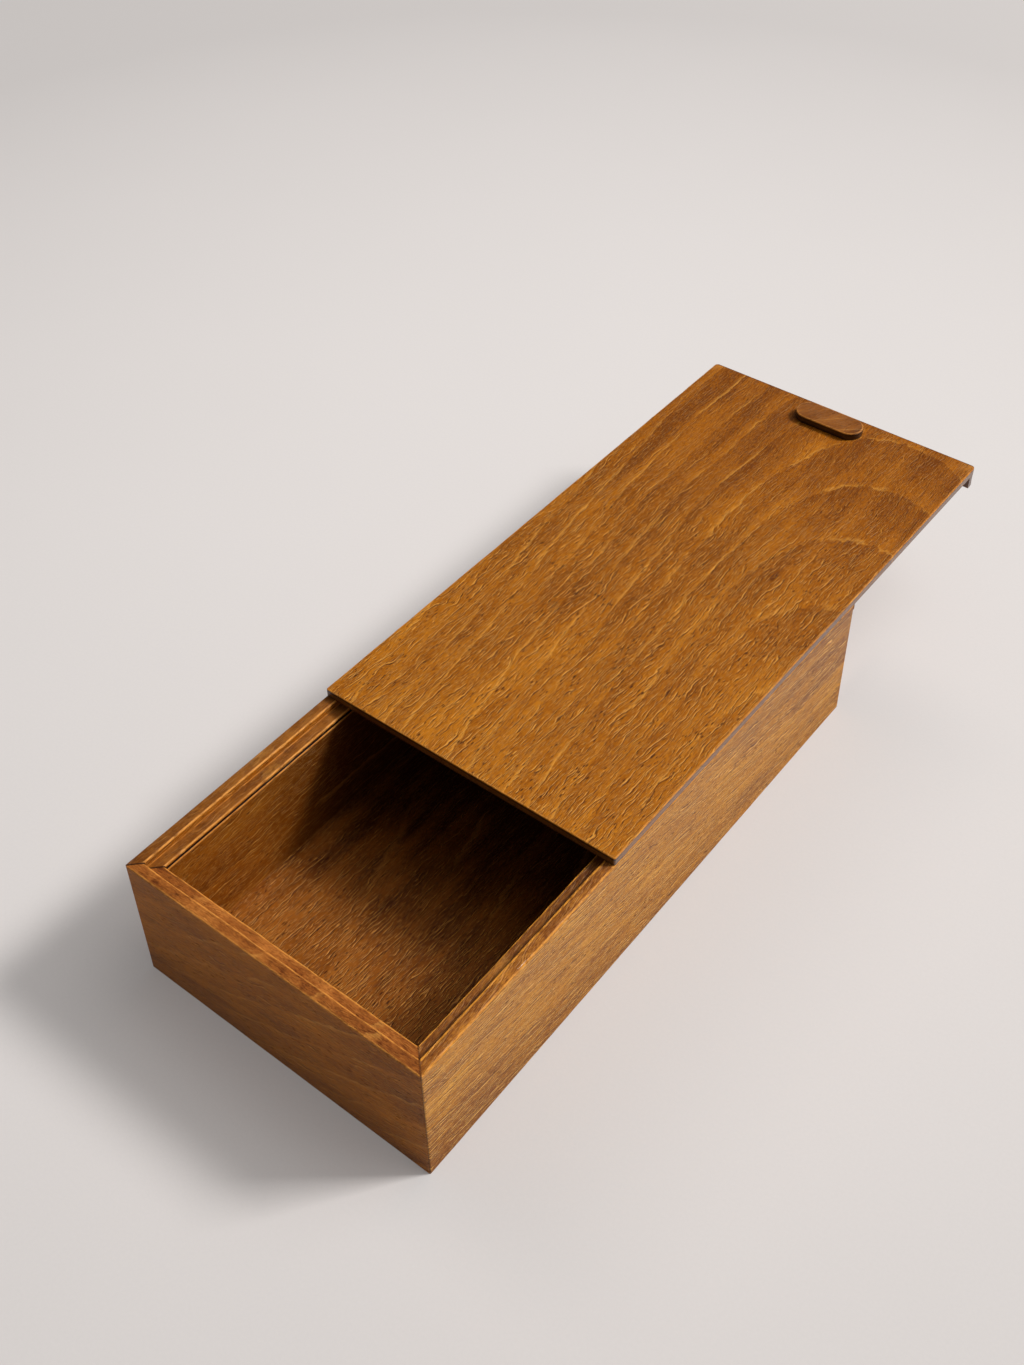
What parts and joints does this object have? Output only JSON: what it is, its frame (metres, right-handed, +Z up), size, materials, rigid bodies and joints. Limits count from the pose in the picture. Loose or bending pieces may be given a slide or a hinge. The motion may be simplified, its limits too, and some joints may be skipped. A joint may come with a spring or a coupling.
{
  "type": "sliding lid wooden box",
  "caption": "Long mitred wooden box for papers and keepsakes, with a flat lid that slides back in its rabbeted rim and a raised finger pull.",
  "frame": {"origin": "centre of the box's underside, between the outer faces of its four walls", "axes": "+Z up, +X to the right wall, +Y to the back wall and along the lid's opening slide; the front wall faces -Y"},
  "size_m": [0.125, 0.3492, 0.0618],
  "materials": {
    "end_wall_wood": "satin stained, grain across the box",
    "side_wall_wood": "satin stained, grain along the box",
    "floor_wood": "satin stained, grain along the box",
    "lid_wood": "satin stained, flat-sawn grain along the lid",
    "guide_wood": "dark stained, waxed",
    "pull_wood": "satin stained",
    "spline_wood": "bare, glued in",
    "screw_brass": "plain"
  },
  "bodies": {
    "box": {"front_wall": "end_wall_wood", "back_wall": "end_wall_wood", "left_wall": "side_wall_wood", "right_wall": "side_wall_wood", "floor_panel": "floor_wood", "spline_front_left": "spline_wood", "spline_front_right": "spline_wood", "spline_back_left": "spline_wood", "spline_back_right": "spline_wood"},
    "lid": {"lid_plate": "lid_wood", "lid_guide_panel": "guide_wood", "lid_end_lip": "lid_wood", "lid_runner_left": "guide_wood", "lid_runner_right": "guide_wood", "finger_pull": "pull_wood", "runner_screws_left": "screw_brass", "runner_screws_right": "screw_brass", "pull_screws": "screw_brass"}
  },
  "joints": [
    {"name": "lid_slide", "type": "slide", "parent": "box", "child": "lid", "axis": [0, 1, 0], "range_m": [-0.095, 0.045]}
  ]
}
